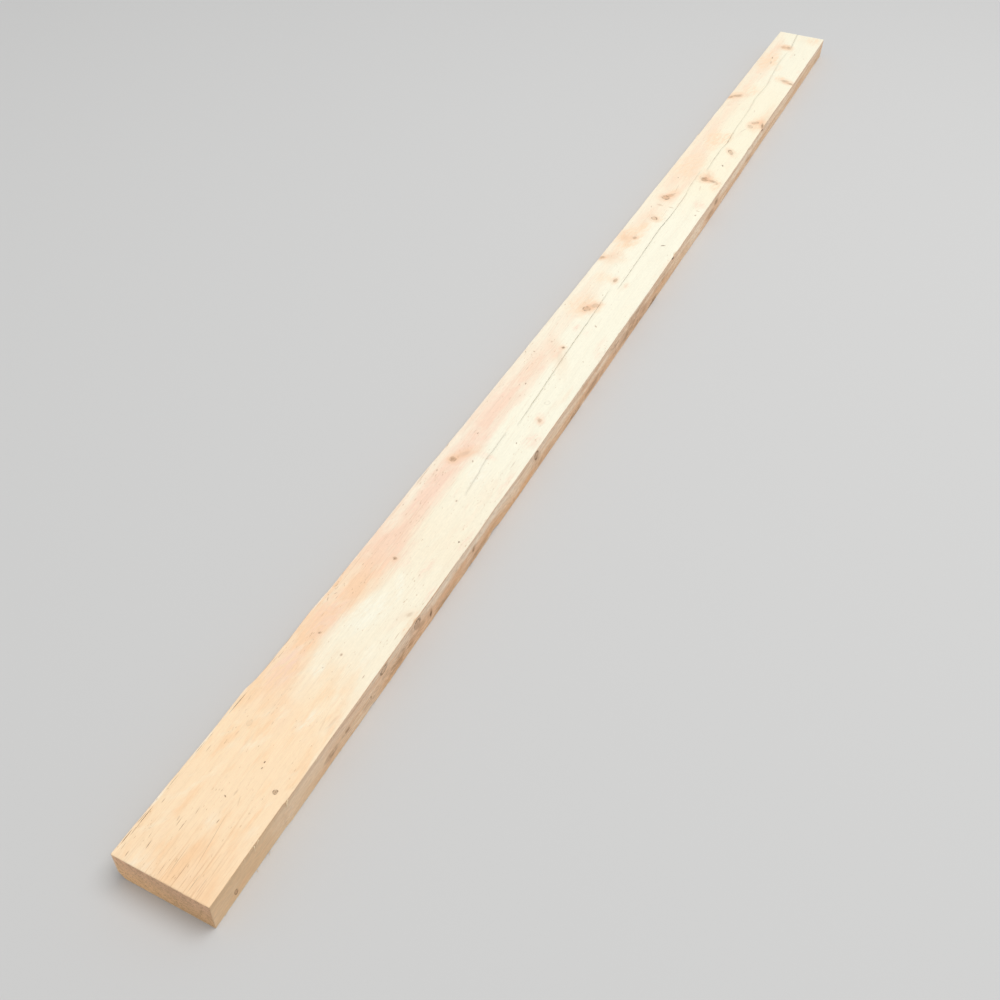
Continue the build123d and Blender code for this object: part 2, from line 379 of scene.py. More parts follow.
def check_paths(stations):
    """For each check, where its middle column lies on the top, how open and deep it is, and its lean."""
    tracks = [min(number, 3) * CHECK_TRACK for number in range(len(CHECKS))]
    posts = []
    for (points, *_), track in zip(CHECKS, tracks):
        posts += [(x * MM, b * MM + track) for x, b, _ in points]
    base_x = np.arange(-LENGTH / 2, LENGTH / 2, 0.01)
    base = np.pad(np.interp(base_x, *zip(*sorted(posts))), 6, mode="edge")
    base = np.interp(stations, base_x, np.convolve(base, np.ones(13) / 13, mode="valid"))
    paths = []
    for number, (points, depth, lean) in enumerate(CHECKS):
        own_x, own_b, own_opening = np.array(points).T * MM
        near = own_x[0] - stations
        far = stations - own_x[-1]
        outside = np.clip(np.maximum(near, far) / CHECK_SETTLE, 0, 1)
        own = np.interp(stations, own_x, own_b) + CHECK_WIGGLE * wander(stations, 0.017, 40 + number)
        path = own * (1 - outside) + (base - tracks[number]) * outside
        taper = CHECK_TAPER * (own_x[-1] - own_x[0])
        runs_out = float(own_x[-1] >= LENGTH / 2)
        gape = np.clip(np.minimum(-near / taper, np.maximum(-far / taper, runs_out)), 0, 1)
        gape = np.where((near > 0) | (far > 0.001), 0, gape)
        gape = gape * (0.72 + 0.28 * wander(stations, 0.06, 60 + number))
        opening = gape * np.interp(stations, own_x, own_opening)
        sunk = (opening / own_opening.max()) ** 0.8 * depth * MM
        paths.append((path, opening, sunk, math.radians(lean)))
    # The last two never lie side by side, so they share their columns
    far_half = stations > (CHECKS[3][0][-1][0] + CHECKS[4][0][0][0]) / 2 * MM
    joined = [np.where(far_half, last, fourth) for fourth, last in zip(*paths[3:])]
    return paths[:3] + [joined]


def top_columns(stations):
    """b of every column on the top at each station, and how deep and leaning its check root is."""
    paths = check_paths(stations)
    still = np.zeros(len(stations))
    anchors = [still + WIDTH / 2 - CORNER_STEPS[-1]]
    for path, opening, _, _ in paths:
        lip = CHECK_LIP + opening / 2
        anchors += [path + lip, path, path - lip]
    anchors.append(still - WIDTH / 2 + CORNER_STEPS[-1])
    columns = [still + WIDTH / 2 - step for step in CORNER_STEPS[:-1]]
    roots = []
    for number, cells in enumerate([14] + [1, 1, 2] * 3 + [1, 1, 12]):
        if number % 3 == 2:
            roots.append(len(columns))
        for share in np.arange(cells) / cells:
            columns.append(anchors[number] * (1 - share) + anchors[number + 1] * share)
    columns.append(anchors[-1])
    columns += [still - WIDTH / 2 + step for step in CORNER_STEPS[-2::-1]]
    sink = np.zeros((len(stations), COLUMNS + 1))
    lean = np.zeros((len(stations), COLUMNS + 1))
    for root, (_, _, sunk, tilt) in zip(roots, paths):
        sink[:, root] = sunk * np.cos(tilt)
        lean[:, root] = sunk * np.sin(tilt)
    return np.array(columns).T, sink, lean


def finished_mesh(work, name):
    """The mesh that a bmesh was made for."""
    mesh = bpy.data.meshes.new(name)
    work.to_mesh(mesh)
    work.free()
    return mesh


def put_in_scene(name, data):
    """A new object at the origin that holds some data."""
    thing = bpy.data.objects.new(name, data)
    bpy.context.scene.collection.objects.link(thing)
    return thing


def cut_across(work, edges, cuts):
    """Cuts the edges that run the whole way up into equal parts."""
    upright = [edge for edge in edges if abs(edge.verts[0].co.z - edge.verts[1].co.z) > 0.5]
    bmesh.ops.subdivide_edges(work, edges=upright, cuts=cuts)


def blank_block():
    """A closed block of cells: a grid for the section, drawn out and cut into stations."""
    work = bmesh.new()
    bmesh.ops.create_grid(work, x_segments=COLUMNS, y_segments=ROWS, size=0.5)
    drawn = bmesh.ops.extrude_face_region(work, geom=list(work.faces))
    moved = [part for part in drawn["geom"] if isinstance(part, bmesh.types.BMVert)]
    bmesh.ops.translate(work, verts=moved, vec=(0, 0, 1))
    cut_across(work, work.edges, STATIONS - 1)
    bmesh.ops.recalc_face_normals(work, faces=list(work.faces))
    return finished_mesh(work, "sawn_plank")


def read_vectors(items, name):
    """A mesh's own values as rows of three."""
    values = np.zeros(len(items) * 3, np.float32)
    items.foreach_get(name, values)
    return values.reshape(-1, 3).astype(float)


def write_values(mesh, name, values, domain="POINT"):
    """Numbers or vectors that the mesh carries for its materials, one for each vertex or face."""
    values = np.asarray(values, np.float32)
    kind, field = ("FLOAT_VECTOR", "vector") if values.ndim == 2 else ("FLOAT", "value")
    mesh.attributes.new(name, kind, domain).data.foreach_set(field, values.ravel())


def bite(places, near_arris, x, side, edge, bite_length, depth):
    """One chip out of an arris: vertices in a ball that reaches depth into the corner go to its surface."""
    radius = (bite_length**2 / 4 + depth**2) / (2 * depth)
    stand_off = (radius - depth) / math.sqrt(2)
    corner_z = THICKNESS if edge == "upper" else 0
    centre = (x, SIGNS[side] * (WIDTH / 2 + stand_off), corner_z + SIGNS[edge] * stand_off)
    chosen = np.nonzero(near_arris & (np.abs(places[:, 0] - x) < bite_length))[0]
    reach = places[chosen] - centre
    distance = np.linalg.norm(reach, axis=1)
    inside = distance < radius
    places[chosen[inside]] = centre + reach[inside] * (radius / distance[inside])[:, None]
    return chosen[inside]


def chip_arrises(places, on_surface):
    """The chips that the photograph shows, then small nicks all along. Gives how torn each vertex is."""
    near_arris = on_surface & (np.abs(places[:, 1]) > WIDTH / 2 - 0.03)
    torn = np.zeros(len(places))
    for x, side, edge, chip_length, depth in CHIPS:
        torn[bite(places, near_arris, x * MM, side, edge, chip_length * MM, depth * MM)] = 1
    rng = np.random.default_rng(7)
    for _ in range(NICKS):
        side = "left" if rng.random() < 0.45 else "right"
        edge = "upper" if rng.random() < 0.55 else "lower"
        x = rng.uniform(-LENGTH / 2, LENGTH / 2)
        nick_length = rng.uniform(0.014, 0.034)
        cut = bite(places, near_arris, x, side, edge, nick_length, rng.uniform(0.0007, 0.0016))
        torn[cut] = np.maximum(torn[cut], 0.6)
    return torn


def round_arrises(places, stations, station):
    """Each long arris is rounded by its own wear: the square corner is drawn in to a quarter circle."""
    _, b, z = places.T
    for number, (side, up) in enumerate([(1, 1), (1, -1), (-1, 1), (-1, -1)]):
        ragged = wander(stations, 0.013, 10 + number) ** 2
        slow = np.abs(wander(stations, 0.11, 20 + number))
        radius = (ARRIS_WEAR * (0.55 + 0.5 * slow + 0.9 * ragged))[station]
        corner_b = side * WIDTH / 2
        corner_z = THICKNESS if up > 0 else 0
        arm_b = radius - (corner_b - b) * side
        arm_z = radius - (corner_z - z) * up
        chosen = (arm_b > 0) & (arm_z > 0)
        size = np.maximum(np.hypot(arm_b, arm_z), 1e-9)
        pull = np.maximum(np.abs(arm_b), np.abs(arm_z)) / size
        b[chosen] = (corner_b - side * (radius - arm_b * pull))[chosen]
        z[chosen] = (corner_z - up * (radius - arm_z * pull))[chosen]


def stray_sides(places):
    """The long sides as the saw strayed, the sliver that it tore up and the step in the left side."""
    x, b, z = places.T
    for side, posts in ((1, LEFT_EDGE), (-1, RIGHT_EDGE)):
        stray = np.interp(x, *np.array(posts).T * MM) + 0.0004 * wander(x, 0.05, 30 + side)
        b += side * stray * np.clip((b * side - 0.06) / 0.03, 0, 1)
    proud = np.interp(x, *np.array(SLIVER).T * MM) * np.clip((z - SLIVER_FOOT) / 0.01, 0, 1)
    b += proud * np.clip((b - 0.092) / 0.006, 0, 1)
    ledge = LEDGE_DEPTH * np.clip((LEDGE_END + LEDGE_RAMP - x) / LEDGE_RAMP, 0, 1)
    b += ledge * np.clip((b + WIDTH / 2) / WIDTH * 4 - 3, 0, 1)


def cut_wane(places, on_surface):
    """The round of the log at the near end's lower left arris, running out along the plank."""
    x, _, z = places.T
    chord = Vector((WANE_WIDTH, WANE_HEIGHT))
    middle = Vector((WIDTH / 2 + LEDGE_DEPTH - WANE_WIDTH / 2, WANE_HEIGHT / 2))
    inward = Vector((-chord.y, chord.x)).normalized()
    pith = np.array(middle + inward * math.sqrt(LOG_RADIUS**2 - (chord.length / 2) ** 2))
    growth = (math.hypot(WIDTH / 2 - pith[0], pith[1]) - LOG_RADIUS) / WANE_LENGTH
    bark = LOG_RADIUS + growth * (x + LENGTH / 2) + 0.0012 * wander(x, 0.045, 5)
    arm = places[:, 1:] - pith
    reach = np.hypot(*arm.T)
    outside = on_surface & (reach > bark) & (z < THICKNESS / 2)
    places[outside, 1:] = (pith + arm * (bark / reach)[:, None])[outside]
    return outside


def fill_ends(places, station, column, row):
    """The inner vertices of the two cut ends follow their rims."""
    for end in (0, STATIONS):
        at = {(column[index], row[index]): places[index] for index in np.nonzero(station == end)[0]}
        low_left, low_right = at[0, 0], at[COLUMNS, 0]
        high_left, high_right = at[0, ROWS], at[COLUMNS, ROWS]
        for (i, j), place in at.items():
            if i in (0, COLUMNS) or j in (0, ROWS):
                continue
            left, right, under, over = at[0, j], at[COLUMNS, j], at[i, 0], at[i, ROWS]
            u = (under[1] - low_left[1]) / (low_right[1] - low_left[1])
            v = (left[2] - low_left[2]) / (high_left[2] - low_left[2])
            flat = (1 - v) * under + v * over + (1 - u) * left + u * right
            flat -= (1 - v) * ((1 - u) * low_left + u * low_right)
            flat -= v * ((1 - u) * high_left + u * high_right)
            place[:] = flat


def finish_ends(places):
    """The arrises of the two cross-cuts are eased, and the cuts turned a little out of square."""
    x, b, z = places.T
    rounding = END_ARRIS * (1 + 0.5 * wander(b * 8, 0.05, 3))
    arm = np.clip(rounding - (LENGTH / 2 - np.abs(x)), 0, None)
    draw_in = np.where(arm > 0, rounding - np.sqrt(np.maximum(rounding**2 - arm**2, 0)), 0)
    b *= 1 - draw_in / (WIDTH / 2)
    z[:] = THICKNESS / 2 + (z - THICKNESS / 2) * (1 - draw_in / (THICKNESS / 2))
    near_skew = NEAR_SKEW * np.clip(1 - (LENGTH / 2 + x) / SKEW_REACH, 0, 1)
    far_skew = FAR_SKEW * np.clip(1 - (LENGTH / 2 - x) / SKEW_REACH, 0, 1)
    x += b / WIDTH * (near_skew - far_skew)


def face_waves(places, on_top, on_bottom, on_left, on_right):
    """The saw's long waves on every face, always into the wood."""
    into = np.zeros(len(places))
    for index, (x, b, z) in enumerate(places):
        slow = noise.noise(Vector((x * 5, b * 14, z * 14)))
        quick = noise.noise(Vector((x * 22 + 7, b * 40, z * 40)))
        into[index] = WAVE_REST + SLOW_WAVE * slow + QUICK_WAVE * quick
    _, b, z = places.T
    z[on_top] -= into[on_top]
    z[on_bottom] += into[on_bottom] * 0.3
    b[on_left] -= into[on_left]
    b[on_right] += into[on_right]


def knot_layers(mesh, places, slots):
    """Every knot is written on the cells that it reaches, on the first layer where they are all free."""
    count = len(mesh.polygons)
    corners = np.zeros(count * 4, np.int32)
    mesh.polygons.foreach_get("vertices", corners)
    middles = places[corners.reshape(-1, 4)].mean(axis=1)
    free = {layer: np.ones(count, bool) for layer in KNOT_LAYERS}
    written = {}
    for layer in KNOT_LAYERS:
        for part, at_rest in KNOT_PARTS.items():
            written[part, layer] = np.tile(np.array(at_rest, float), (count, 1))
    for slot, knots in KNOTS.items():
        for x, across, along_size, across_size, turn, *strength in knots:
            angle = math.radians(turn)
            if slot in (TOP, UNDERSIDE):
                centre = (x * MM, across * MM, THICKNESS if slot == TOP else 0)
                size = np.array([along_size, across_size, KNOT_DEPTH]) * MM
                turned = (0, 0, angle)
            else:
                centre = (x * MM, WIDTH / 2 if slot == LEFT else -WIDTH / 2, across * MM)
                size = np.array([along_size, KNOT_DEPTH, across_size]) * MM
                turned = (0, -angle, 0)
            reach = KNOT_REACH if strength[2] > 0 else KNOT_RIM_REACH
            local = (middles - centre) @ np.array(Euler(turned).to_matrix()) / (size * reach + CELL)
            near = (slots == slot) & (np.linalg.norm(local, axis=1) < 1)
            layer = next((layer for layer in KNOT_LAYERS if free[layer][near].all()), None)
            if layer is None:
                print("a knot finds no free layer:", slot, x, across)
                continue
            free[layer][near] = False
            for part, value in zip(KNOT_PARTS, (centre, turned, size, strength)):
                written[part, layer][near] = value
    for (part, layer), values in written.items():
        write_values(mesh, f"knot_{part}_{layer}", values, "FACE")


def paint_patches(mesh, places, on_top, on_right):
    """How strong each kind of patch is at every vertex."""
    strengths = np.zeros((len(places), 3))
    for (face, kind), patches in PATCHES.items():
        on_face, axis = (on_top, 1) if face == "top" else (on_right, 2)
        strongest = strengths[:, PATCH_KINDS[kind]]
        for x, across, along_size, across_size, turn, strength in patches:
            from_x = places[:, 0] - x * MM
            from_across = places[:, axis] - across * MM
            cos, sin = math.cos(math.radians(turn)), math.sin(math.radians(turn))
            along = (from_x * cos + from_across * sin) / (along_size * MM)
            over = (from_across * cos - from_x * sin) / (across_size * MM)
            share = np.clip((1 - np.hypot(along, over)) * PATCH_EDGE, 0, 1)
            soft = np.where(on_face, share * share * (3 - 2 * share) * strength, 0)
            np.maximum(strongest, soft, out=strongest)
    write_values(mesh, "patches", strengths)


def plank_mesh():
    """The plank's whole surface, from the blank block, moved into place by its sizes and marks."""
    mesh = blank_block()
    raw = read_vectors(mesh.vertices, "co")
    normals = read_vectors(mesh.polygons, "normal")
    column, row, station = np.rint((raw + (0.5, 0.5, 0)) * (COLUMNS, ROWS, STATIONS)).astype(int).T
    stations = station_places()
    top_b, sink, lean = top_columns(stations)
    places = np.stack([stations[station], top_b[station, column], row_heights()[row]], axis=1)
    x, b, z = places.T
    on_top = row == ROWS
    on_bottom = row == 0
    on_left = column == 0
    on_right = column == COLUMNS
    on_surface = on_top | on_bottom | on_left | on_right

    round_arrises(places, stations, station)
    face_waves(places, on_top, on_bottom, on_left, on_right)
    torn = chip_arrises(places, on_surface)
    stray_sides(places)
    barked = cut_wane(places, on_surface)
    sunk = np.where(on_top, sink[station, column], 0)
    b += np.where(on_top, lean[station, column], 0)
    z -= sunk
    fill_ends(places, station, column, row)
    finish_ends(places)

    in_frame = np.stack([x + MIDDLE_X, b + MIDDLE_Y - bend(x), z], axis=1)
    in_frame = np.clip(in_frame, np.array(cad_low), np.array(cad_high))
    mesh.vertices.foreach_set("co", in_frame.astype(np.float32).ravel())
    write_values(mesh, "grain_place", places)
    write_values(mesh, "torn", torn)
    # How deep each vertex lies in a check, which sets the painted shade inside it
    write_values(mesh, "check_shade", np.clip(sunk / CHECK_SHADE_DEPTH, 0, 1))
    write_values(mesh, "bark_side", barked)
    paint_patches(mesh, places, on_top, on_right)

    slots = np.full(len(normals), LEFT)
    slots[normals[:, 1] > 0.9] = TOP
    slots[normals[:, 1] < -0.9] = UNDERSIDE
    slots[normals[:, 0] > 0.9] = RIGHT
    slots[np.abs(normals[:, 2]) > 0.9] = ENDS
    knot_layers(mesh, places, slots)
    mesh.polygons.foreach_set("material_index", slots.astype(np.int32))
    mesh.polygons.foreach_set("use_smooth", np.ones(len(normals), bool))
    # The columns count from the left, which mirrors the block, so its faces are turned outwards again
    mesh.flip_normals()
    mesh.update()
    return mesh


def feed(socket, value):
    """Gives a socket another node's output or a value, and a colour its alpha."""
    if isinstance(value, bpy.types.NodeSocket):
        socket.id_data.links.new(value, socket)
    else:
        socket.default_value = (*value, 1) if socket.type == "RGBA" else value


def tree_of(values):
    """The node tree that the first socket among some values is in."""
    return next(value.id_data for value in values if isinstance(value, bpy.types.NodeSocket))


def add(tree, kind, settings=None, **inputs):
    """A new node, with its options in settings and its sockets by name."""
    made = tree.nodes.new("ShaderNode" + kind)
    for name, value in (settings or {}).items():
        setattr(made, name, value)
    for name, value in inputs.items():
        feed(made.inputs[name.replace("_", " ")], value)
    return made


def sums(operation, *values, clamp=False):
    """One step of arithmetic on numbers."""
    made = add(tree_of(values), "Math", {"operation": operation, "use_clamp": clamp})
    for socket, value in zip(made.inputs, values):
        feed(socket, value)
    return made.outputs[0]


def line(value, slope, rest):
    """A value times a slope, plus a rest."""
    return sums("MULTIPLY_ADD", value, slope, rest)


def times(first, *others, clamp=False):
    """The product of some numbers."""
    for other in others:
        first = sums("MULTIPLY", first, other, clamp=clamp)
    return first


def vectors(operation, *values, output="Vector"):
    """One step of arithmetic on vectors."""
    made = add(tree_of(values), "VectorMath", {"operation": operation})
    for socket, value in zip(made.inputs, values):
        feed(socket, value)
    return made.outputs[output]


def scaled(vector, amount):
    """A vector made longer or shorter, or a colour lighter or darker."""
    made = add(tree_of((vector, amount)), "VectorMath", {"operation": "SCALE"}, Scale=amount)
    feed(made.inputs[0], vector)
    return made.outputs["Vector"]


def blend(share, first, second):
    """Mixes two colours."""
    made = add(tree_of((share, first, second)), "Mix", {"data_type": "RGBA"}, Factor=share)
    feed(made.inputs[6], first)
    feed(made.inputs[7], second)
    return made.outputs[2]


def tint(colour, other, *shares):
    """Draws a colour towards another by the product of some shares."""
    return blend(times(*shares), colour, other)


def fade(value, low, high, start=0, end=1):
    """A soft step from start to end as value goes from low to high."""
    made = add(value.id_data, "MapRange", {"interpolation_type": "SMOOTHSTEP"}, Value=value, From_Min=low,
               From_Max=high, To_Min=start, To_Max=end)
    return made.outputs["Result"]


def axes(vector):
    """X, Y and Z of a vector."""
    return add(vector.id_data, "SeparateXYZ", {}, Vector=vector).outputs


def painted(place, name, output="Vector"):
    """What the mesh carries under a name, for the tree that place is in."""
    return add(place.id_data, "Attribute", {"attribute_name": name}).outputs[output]


def cloud(place, stretch, detail=2, rough=0.5, shift=(0, 0, 0), turn=0):
    """Noise from 0 to 1, with its own scale on each axis, in lumps a metre."""
    tree = place.id_data
    scale = tuple(1 / value for value in stretch)
    local = add(tree, "Mapping", {"vector_type": "TEXTURE"}, Vector=place, Location=shift,
                Rotation=(0, 0, math.radians(turn)), Scale=scale).outputs[0]
    made = add(tree, "TexNoise", {}, Vector=local, Scale=1.0, Detail=detail, Roughness=rough)
    return made.outputs["Fac"]


def noise_line(value, scale, detail):
    """Noise from 0 to 1 along a single number."""
    made = add(value.id_data, "TexNoise", {"noise_dimensions": "1D"}, W=value, Scale=scale, Detail=detail)
    return made.outputs[0]


def course(x, posts):
    """A smooth line from post to post along the plank: x in millimetres, and a height from 0 to 1."""
    ramp = add(x.id_data, "ValToRGB", {}, Fac=line(x, 1 / LENGTH, 0.5))
    ramp.color_ramp.interpolation = "EASE"
    stops = ramp.color_ramp.elements
    for number, (post_x, height) in enumerate(posts):
        position = post_x * MM / LENGTH + 0.5
        stop = stops[number] if number < 2 else stops.new(position)
        stop.position = position
        stop.color = (height, height, height, 1)
    return ramp.outputs["Color"]


def new_group(name, outputs, **inputs):
    """An empty node group that is told a place, and perhaps more, and gives some numbers."""
    group = bpy.data.node_groups.new(name, "ShaderNodeTree")
    for label, value in {"Place": (0, 0, 0), **inputs}.items():
        kind = "NodeSocketVector" if isinstance(value, tuple) else "NodeSocketFloat"
        socket = group.interface.new_socket(name=label, in_out="INPUT", socket_type=kind)
        socket.default_value = value
    for label in outputs:
        group.interface.new_socket(name=label, in_out="OUTPUT", socket_type="NodeSocketFloat")
    given = group.nodes.new("NodeGroupInput").outputs
    return group, given, group.nodes.new("NodeGroupOutput").inputs


def place_group(group, **inputs):
    """Puts a group into the tree that its inputs are in."""
    made = tree_of(inputs.values()).nodes.new("ShaderNodeGroup")
    made.node_tree = group
    for name, value in inputs.items():
        feed(made.inputs[name], value)
    return made.outputs


def growth_ring_group():
    """The log's yearly rings about its pith, as they show on any face that the saw leaves."""
    group, given, result = new_group("growth_rings", ["Late", "Band"], Push=0)
    place = given["Place"]
    x, b, z = axes(place)
    from_pith_b = sums("SUBTRACT", b, line(x, GRAIN_SLOPE, PITH_B + GRAIN_SLOPE * LENGTH / 2))
    from_pith_z = sums("SUBTRACT", z, PITH_Z)
    across = add(group, "CombineXYZ", {}, Y=from_pith_b, Z=from_pith_z).outputs[0]
    wobble = line(cloud(place, (1.1, 7, 7), 1), 0.03, -0.015)
    wobble = line(cloud(place, (7, 70, 70), shift=(3, 1, 8)), 0.003, wobble)
    radius = sums("ADD", vectors("LENGTH", across, output="Value"), wobble)
    radius = sums("ADD", radius, given["Push"])
    years = line(noise_line(radius, 60, 1), 3, sums("DIVIDE", radius, RING_WIDTH))
    part_year = sums("FRACT", years)
    late = times(fade(part_year, 0.45, 0.9), fade(part_year, 0.92, 1, 1, 0))
    whim = add(group, "TexWhiteNoise", {"noise_dimensions": "1D"}, W=sums("FLOOR", years)).outputs[0]
    feed(result["Late"], times(late, fade(whim, 0.1, 0.9, 0.2, 1)))
    feed(result["Band"], noise_line(radius, 130, 3))
    return group


def fibre_group():
    """Fine fibres and soft long streaks that run with the grain, and the stretches where lines show."""
    group, given, result = new_group("fibres", ["Hairs", "Streaks", "Lines", "Stretches", "Grit"])
    place = given["Place"]
    feed(result["Grit"], cloud(place, (80, 240, 240), rough=0.7, shift=(8, 8, 2)))
    feed(result["Hairs"], cloud(place, (16, 700, 700), rough=0.7))
    feed(result["Streaks"], cloud(place, (2.2, 60, 60), 3, 0.55, shift=(2, 5, 1)))
    lines = cloud(place, (9, 330, 330), rough=0.6, shift=(9, 4, 3))
    feed(result["Lines"], fade(lines, 0.56, 0.72))
    stretches = cloud(place, (11, 90, 90), rough=0.6, shift=(1, 7, 5))
    feed(result["Stretches"], fade(stretches, 0.42, 0.62))
    return group


def torn_grain_group():
    """Short dark dashes where the saw tore fibres out of the surface."""
    group, given, result = new_group("torn_grain", ["Dash"], Amount=0.5)
    dashes = cloud(given["Place"], (75, 330, 330), rough=0.6, shift=(1, 2, 3))
    places = cloud(given["Place"], (7, 26, 26), shift=(7, 3, 1))
    limit = line(given["Amount"], -0.12, 0.8)
    limit = line(fade(places, 0.4, 0.7), -0.06, limit)
    feed(result["Dash"], fade(sums("SUBTRACT", dashes, limit), 0, 0.05))
    return group


def knot_group():
    """One knot: its core, the dark rim round it, the stain beyond and how far it bends the rings."""
    group, given, result = new_group("knot", KNOT_MARKS, Centre=(0, 0, 0), Turn=(0, 0, 0), Size=(1, 1, 1),
                                     Core=0.5, Rim=0.5, Stain=0.5)
    local = add(group, "Mapping", {"vector_type": "TEXTURE"}, Vector=given["Place"], Location=given["Centre"],
                Rotation=given["Turn"], Scale=given["Size"]).outputs[0]
    own_place = vectors("ADD", local, scaled(given["Centre"], 97))
    ragged = add(group, "TexNoise", {}, Vector=own_place, Scale=1.1, Detail=4, Roughness=0.6)
    ragged = scaled(vectors("SUBTRACT", ragged.outputs["Color"], (0.5, 0.5, 0.5)), 0.9)
    far = vectors("LENGTH", vectors("ADD", local, ragged), output="Value")
    broken = add(group, "TexNoise", {}, Vector=own_place, Scale=0.9, Detail=3).outputs[0]
    core = times(fade(far, 0.4, 1.05, 1, 0), fade(broken, 0.3, 0.6, 1.5, 0.9))
    feed(result["Core"], times(core, given["Core"]))
    rim = times(fade(far, 0.55, 0.85), fade(far, 0.95, 1.25, 1, 0), fade(broken, 0.4, 0.6, 0.25, 1))
    feed(result["Rim"], times(rim, given["Rim"]))
    stain = times(fade(far, 0.5, KNOT_REACH, 1, 0), fade(broken, 0.3, 0.6, 0.5, 1.1))
    feed(result["Stain"], times(stain, given["Stain"]))
    size = vectors("LENGTH", given["Size"], output="Value")
    feed(result["Push"], times(fade(far, 0, KNOT_REACH, 0.35, 0), size, given["Stain"]))
    return group


def end_grain_group():
    """A cross-cut: fine pores, and the fuzz and scratches of the saw."""
    group, given, result = new_group("end_grain", ["Pores", "Scratches", "Blotches", "Specks"])
    place = given["Place"]
    feed(result["Specks"], cloud(place, (100, 260, 260), rough=0.6, shift=(2, 9, 4)))
    feed(result["Pores"], cloud(place, (200, 900, 900), detail=3, rough=0.7))
    feed(result["Scratches"], cloud(place, (50, 60, 900), rough=0.6))
    feed(result["Blotches"], cloud(place, (10, 110, 150), 4, 0.7, shift=(5, 2, 2)))
    return group


GROUPS = {
    "rings": growth_ring_group(),
    "fibres": fibre_group(),
    "torn": torn_grain_group(),
    "knot": knot_group(),
    "end": end_grain_group(),
}

CREAM = (0.965, 0.925, 0.755)
DULL_CREAM = (0.967, 0.862, 0.665)
FAR_CREAM = (0.967, 0.895, 0.69)
WHITISH = (0.975, 0.935, 0.775)
ROSE = (0.96, 0.7, 0.55)
WARM_PINK = (0.965, 0.66, 0.42)
PEACH = (0.965, 0.785, 0.6)
NEAR_PEACH = (1, 0.77, 0.515)
ROSY_PATCH = (0.965, 0.7, 0.55)
ORANGE_PATCH = (0.975, 0.73, 0.5)
PALE_RIM = (1, 0.93, 0.78)
ORANGE = (0.97, 0.64, 0.37)
LATE_WOOD = (0.66, 0.37, 0.18)
FADED_KNOT = (0.6, 0.36, 0.2)
DARK_KNOT = (0.16, 0.085, 0.045)
KNOT_RIM = (0.2, 0.11, 0.055)
KNOT_STAIN = (0.93, 0.62, 0.41)
TORN = (0.56, 0.33, 0.16)
CHIPPED = (0.66, 0.44, 0.25)
# Painted shade inside the drying checks
CHECK_SHADE = (0.2, 0.14, 0.09)
SIDE_TAN = (0.88, 0.65, 0.44)
SIDE_GREY = (0.93, 0.74, 0.56)
SIDE_BROWN = (0.7, 0.38, 0.19)
SIDE_NEAR = (0.8, 0.56, 0.34)
SIDE_PALE = (0.98, 0.83, 0.66)
SIDE_DARK = (0.4, 0.23, 0.13)
SIDE_ORANGE = (0.84, 0.48, 0.24)
WANE = (0.58, 0.36, 0.2)
END_PINK = (0.845, 0.535, 0.335)
END_YELLOW = (0.87, 0.55, 0.295)
END_FUZZ = (1, 0.78, 0.58)
END_LATE = (0.36, 0.19, 0.09)
FIBRE_PALE = (1, 0.88, 0.66)
FIBRE_TAN = (0.84, 0.62, 0.38)


def new_material(name):
    """A material with a Principled BSDF, and the grain's place on the plank."""
    material = bpy.data.materials.new(name)
    material.use_nodes = True
    shader = material.node_tree.nodes["Principled BSDF"]
    feed(shader.inputs["Specular IOR Level"], 0.25)
    place = add(material.node_tree, "Attribute", {"attribute_name": "grain_place"}).outputs["Vector"]
    return material, shader, place


def emboss(shader, height):
    """Fine relief from a height in metres."""
    bump = add(height.id_data, "Bump", {}, Height=height, Distance=1, Strength=1)
    feed(shader.inputs["Normal"], bump.outputs["Normal"])


def knot_marks(place):
    """The knots that reach a point, read from the layers that the mesh carries, brought together."""
    total = None
    for layer in KNOT_LAYERS:
        centre, turn, size, strength = (painted(place, f"knot_{part}_{layer}") for part in KNOT_PARTS)
        core, rim, stain = axes(strength)
        one = place_group(GROUPS["knot"], Place=place, Centre=centre, Turn=turn, Size=size,
                          Core=core, Rim=rim, Stain=stain)
        marks = [one[name] for name in KNOT_MARKS]
        total = [sums("ADD", *pair) for pair in zip(total, marks)] if total else marks
    return total


def patch_marks(place):
    """The soft patches at a point, with ragged edges: pale, rosy or brown, and orange."""
    ragged = cloud(place, (30, 110, 110), 5, 0.7, shift=(2, 2, 9), turn=-12)
    ragged = fade(ragged, 0.36, 0.64, 0.1, 1.6)
    return [times(part, ragged, clamp=True) for part in axes(painted(place, "patches"))]


